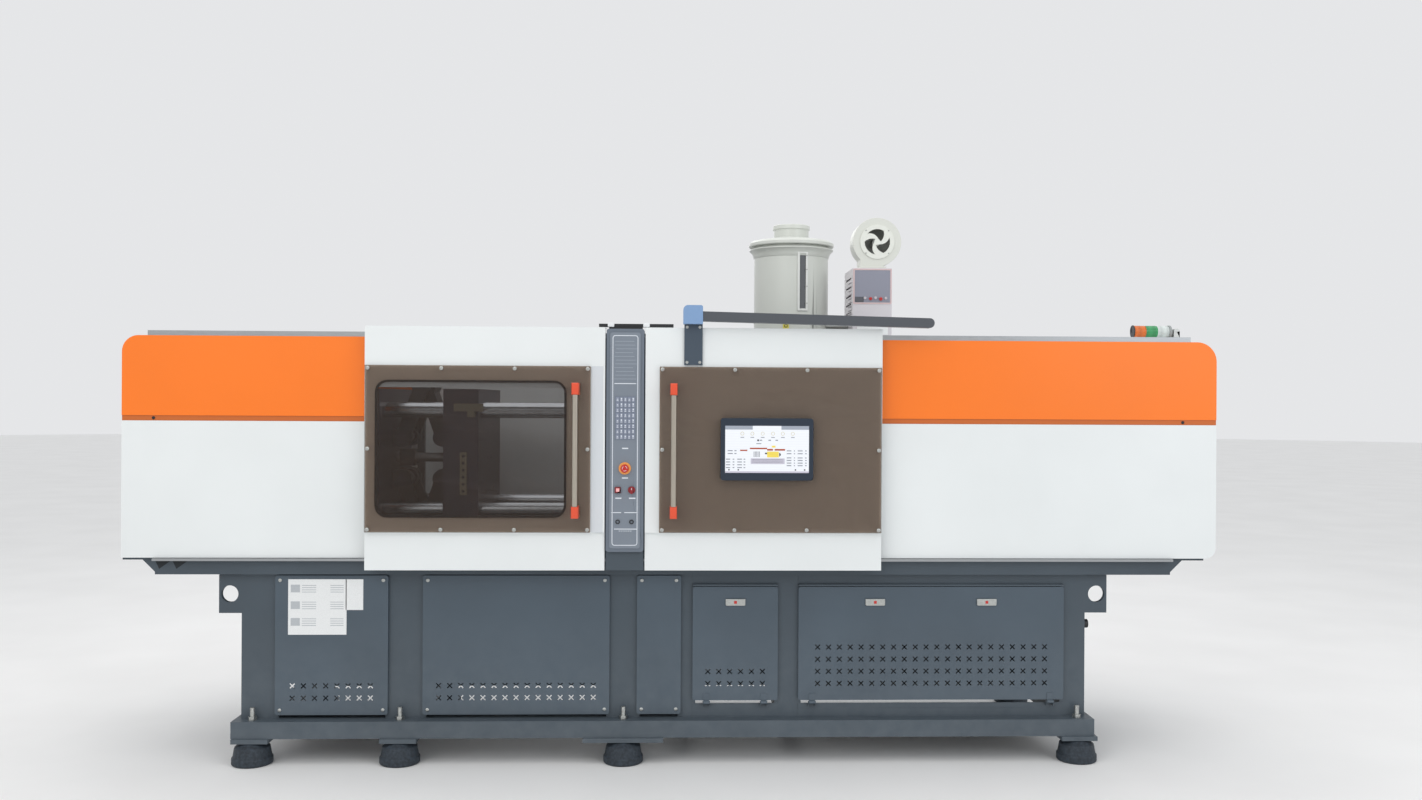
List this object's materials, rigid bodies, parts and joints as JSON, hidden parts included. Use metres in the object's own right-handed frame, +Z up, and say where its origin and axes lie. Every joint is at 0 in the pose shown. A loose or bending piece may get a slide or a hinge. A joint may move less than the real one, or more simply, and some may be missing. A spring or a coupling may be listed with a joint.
{
  "type": "injection moulding machine",
  "caption": "Horizontal all-electric injection moulding machine with hooded clamp and injection units, sliding windowed safety gates, control column, hopper and dryer.",
  "frame": {"origin": "on the floor, under the middle of the machine", "axes": "+X along the machine from clamp end to injection end, +Y from the operator side to the rear, +Z up"},
  "size_m": [5.46, 1.6, 2.79],
  "materials": {
    "slate_paint": "satin powder coat",
    "slate_panel": "satin powder coat",
    "orange_paint": "gloss powder coat",
    "white_paint": "gloss powder coat",
    "rubber": "matt moulded",
    "zinc_steel": "zinc plated",
    "platen_iron": "painted casting",
    "bright_steel": "hard chromed",
    "machined_steel": "machined",
    "motor_black": "matt black paint",
    "column_grey": "satin powder coat",
    "column_membrane": "printed membrane",
    "control_yellow": "moulded",
    "control_red": "moulded",
    "control_dark": "moulded",
    "smoked_acrylic": "polished cast acrylic",
    "handle_metal": "anodised",
    "bezel_black": "moulded",
    "screen_glass": "lit display glass",
    "duct_grey": "satin powder coat",
    "hopper_grey": "gloss enamel",
    "dryer_grey": "gloss enamel",
    "blower_grey": "cast and painted",
    "sight_glass": "polished glass",
    "signal_lens": "translucent lenses",
    "barrel_steel": "nitrided"
  },
  "bodies": {
    "root": {"bed_rails": "slate_paint", "bed_frame": "slate_paint", "lifting_eyes": "slate_paint", "machine_mounts": "rubber", "foot_brackets": "zinc_steel", "base_panels": "slate_panel", "cover_fixings": "zinc_steel", "electrical_cabinet": "zinc_steel", "hood_orange_panels": "orange_paint", "hood_white_panels": "white_paint", "guard_frame": "slate_paint", "gate_rails": "zinc_steel", "control_column": "column_grey", "column_face": "column_membrane", "column_fittings": "control_yellow", "fixed_platen": "platen_iron", "toggle_platen": "platen_iron", "tie_bars": "bright_steel", "guide_rails": "machined_steel", "clamp_motor": "motor_black", "signal_bracket": "zinc_steel"},
    "small_door": {"small_cabinet_door": "slate_panel"},
    "large_door": {"large_cabinet_door": "slate_panel"},
    "small_latch": {"small_door_latch": "white_paint"},
    "large_latch_left": {"large_door_latch_left": "white_paint"},
    "large_latch_right": {"large_door_latch_right": "white_paint"},
    "estop": {"estop_button": "control_red"},
    "selector": {"selector_knob": "control_dark"},
    "moving_platen": {"moving_platen": "platen_iron"},
    "ejector": {"ejector_plate": "machined_steel"},
    "crosshead": {"toggle_crosshead": "machined_steel"},
    "clamp_screw": {"clamp_ball_screw": "bright_steel"},
    "rear_link_upper": {"toggle_rear_link_upper": "platen_iron"},
    "rear_link_lower": {"toggle_rear_link_lower": "platen_iron"},
    "front_link_upper": {"toggle_front_link_upper": "platen_iron"},
    "front_link_lower": {"toggle_front_link_lower": "platen_iron"},
    "carriage": {"injection_carriage": "platen_iron", "barrel": "barrel_steel", "hopper_body": "hopper_grey", "hopper_sight_glass": "sight_glass", "dryer_box": "dryer_grey", "blower_housing": "blower_grey"},
    "screw_drive": {"screw_drive": "platen_iron"},
    "screw": {"plasticising_screw": "bright_steel"},
    "injection_screw": {"injection_ball_screw": "bright_steel"},
    "hopper_lid": {"hopper_lid": "hopper_grey"},
    "impeller": {"blower_impeller": "motor_black"},
    "clamp_gate": {"clamp_gate_panel": "white_paint", "clamp_gate_window": "smoked_acrylic", "clamp_gate_handle": "handle_metal"},
    "nozzle_gate": {"nozzle_gate_panel": "white_paint", "nozzle_gate_window": "smoked_acrylic", "nozzle_gate_handle": "handle_metal", "screen_housing": "bezel_black", "screen_glass": "screen_glass", "duct_arm": "duct_grey"},
    "rear_clamp_gate": {"rear_clamp_gate": "white_paint"},
    "rear_nozzle_gate": {"rear_nozzle_gate": "white_paint"},
    "light": {"signal_light": "signal_lens"},
    "push_button": {"push_button": "control_red"}
  },
  "joints": [
    {"name": "clamp_gate_slide", "type": "slide", "parent": "root", "child": "clamp_gate", "axis": [-1, 0, 0], "range_m": [0, 1.13]},
    {"name": "nozzle_gate_slide", "type": "slide", "parent": "root", "child": "nozzle_gate", "axis": [1, 0, 0], "range_m": [0, 1.13]},
    {"name": "rear_clamp_gate_slide", "type": "slide", "parent": "root", "child": "rear_clamp_gate", "axis": [-1, 0, 0], "range_m": [0, 1.13]},
    {"name": "rear_nozzle_gate_slide", "type": "slide", "parent": "root", "child": "rear_nozzle_gate", "axis": [1, 0, 0], "range_m": [0, 1.13]},
    {"name": "clamp_stroke", "type": "slide", "parent": "root", "child": "moving_platen", "axis": [1, 0, 0], "range_m": [0, 0.26]},
    {"name": "ejector_stroke", "type": "slide", "parent": "moving_platen", "child": "ejector", "axis": [1, 0, 0], "range_m": [0, 0.1]},
    {"name": "crosshead_stroke", "type": "slide", "parent": "root", "child": "crosshead", "axis": [1, 0, 0], "range_m": [0, 0.143]},
    {"name": "carriage_slide", "type": "slide", "parent": "root", "child": "carriage", "axis": [1, 0, 0], "range_m": [0, 0.2]},
    {"name": "injection_stroke", "type": "slide", "parent": "carriage", "child": "screw_drive", "axis": [1, 0, 0], "range_m": [0, 0.16]},
    {"name": "screw_turn", "type": "hinge", "parent": "screw_drive", "child": "screw", "pos_m": [1, 0, 1.49], "axis": [1, 0, 0], "continuous": true},
    {"name": "injection_screw_turn", "type": "hinge", "parent": "carriage", "child": "injection_screw", "pos_m": [2, 0, 1.49], "axis": [1, 0, 0], "continuous": true},
    {"name": "clamp_screw_turn", "type": "hinge", "parent": "root", "child": "clamp_screw", "pos_m": [-1.8, 0, 1.49], "axis": [1, 0, 0], "continuous": true},
    {"name": "lid_hinge", "type": "hinge", "parent": "carriage", "child": "hopper_lid", "pos_m": [0.627, 0.251, 2.648], "axis": [-1, 0, 0], "range_deg": [0, 100]},
    {"name": "impeller_spin", "type": "hinge", "parent": "carriage", "child": "impeller", "pos_m": [1.067, -0.15, 2.66], "axis": [0, 1, 0], "continuous": true},
    {"name": "estop_press", "type": "slide", "parent": "root", "child": "estop", "axis": [0, 1, 0], "range_m": [0, 0.006], "stiffness_N_per_m": 400},
    {"name": "push_button_press", "type": "slide", "parent": "root", "child": "push_button", "axis": [0, 1, 0], "range_m": [0, 0.004], "stiffness_N_per_m": 300},
    {"name": "selector_turn", "type": "hinge", "parent": "root", "child": "selector", "pos_m": [-0.222, -0.71, 1.366], "axis": [0, -1, 0], "range_deg": [0, 90]},
    {"name": "small_door_drop", "type": "hinge", "parent": "root", "child": "small_door", "pos_m": [0, -0.588, 0.291], "axis": [1, 0, 0], "range_deg": [0, 95]},
    {"name": "large_door_drop", "type": "hinge", "parent": "root", "child": "large_door", "pos_m": [0, -0.588, 0.291], "axis": [1, 0, 0], "range_deg": [0, 95]},
    {"name": "small_latch_lift", "type": "hinge", "parent": "small_door", "child": "small_latch", "pos_m": [0.2985, -0.5841, 0.8075], "axis": [-1, 0, 0], "range_deg": [0, 40]},
    {"name": "large_latch_left_lift", "type": "hinge", "parent": "large_door", "child": "large_latch_left", "pos_m": [1.004, -0.5841, 0.8075], "axis": [-1, 0, 0], "range_deg": [0, 40]},
    {"name": "large_latch_right_lift", "type": "hinge", "parent": "large_door", "child": "large_latch_right", "pos_m": [1.571, -0.5841, 0.8075], "axis": [-1, 0, 0], "range_deg": [0, 40]},
    {"name": "light_fold", "type": "hinge", "parent": "root", "child": "light", "pos_m": [2.65, -0.3, 2.185], "axis": [0, 1, 0], "range_deg": [0, 90]},
    {"name": "rear_link_upper_swing", "type": "hinge", "parent": "root", "child": "rear_link_upper", "pos_m": [-1.46521, 0, 1.6], "axis": [0, 1, 0], "range_deg": [0, 30.84]},
    {"name": "front_link_upper_swing", "type": "hinge", "parent": "moving_platen", "child": "front_link_upper", "pos_m": [-1.26, 0, 1.6], "axis": [0, -1, 0], "range_deg": [0, 30.84]},
    {"name": "rear_link_lower_swing", "type": "hinge", "parent": "root", "child": "rear_link_lower", "pos_m": [-1.46521, 0, 1.38], "axis": [0, -1, 0], "range_deg": [0, 30.84]},
    {"name": "front_link_lower_swing", "type": "hinge", "parent": "moving_platen", "child": "front_link_lower", "pos_m": [-1.26, 0, 1.38], "axis": [0, 1, 0], "range_deg": [0, 30.84]}
  ],
  "couplings": [
    {"joint": "crosshead_stroke", "follows": "clamp_stroke", "ratio": 0.55},
    {"joint": "rear_link_upper_swing", "follows": "clamp_stroke", "rad_per_m": 2.068},
    {"joint": "front_link_upper_swing", "follows": "clamp_stroke", "rad_per_m": 2.068},
    {"joint": "rear_link_lower_swing", "follows": "clamp_stroke", "rad_per_m": 2.068},
    {"joint": "front_link_lower_swing", "follows": "clamp_stroke", "rad_per_m": 2.068},
    {"joint": "clamp_screw_turn", "follows": "clamp_stroke", "rad_per_m": 86.394},
    {"joint": "injection_screw_turn", "follows": "injection_stroke", "rad_per_m": 157.08}
  ]
}
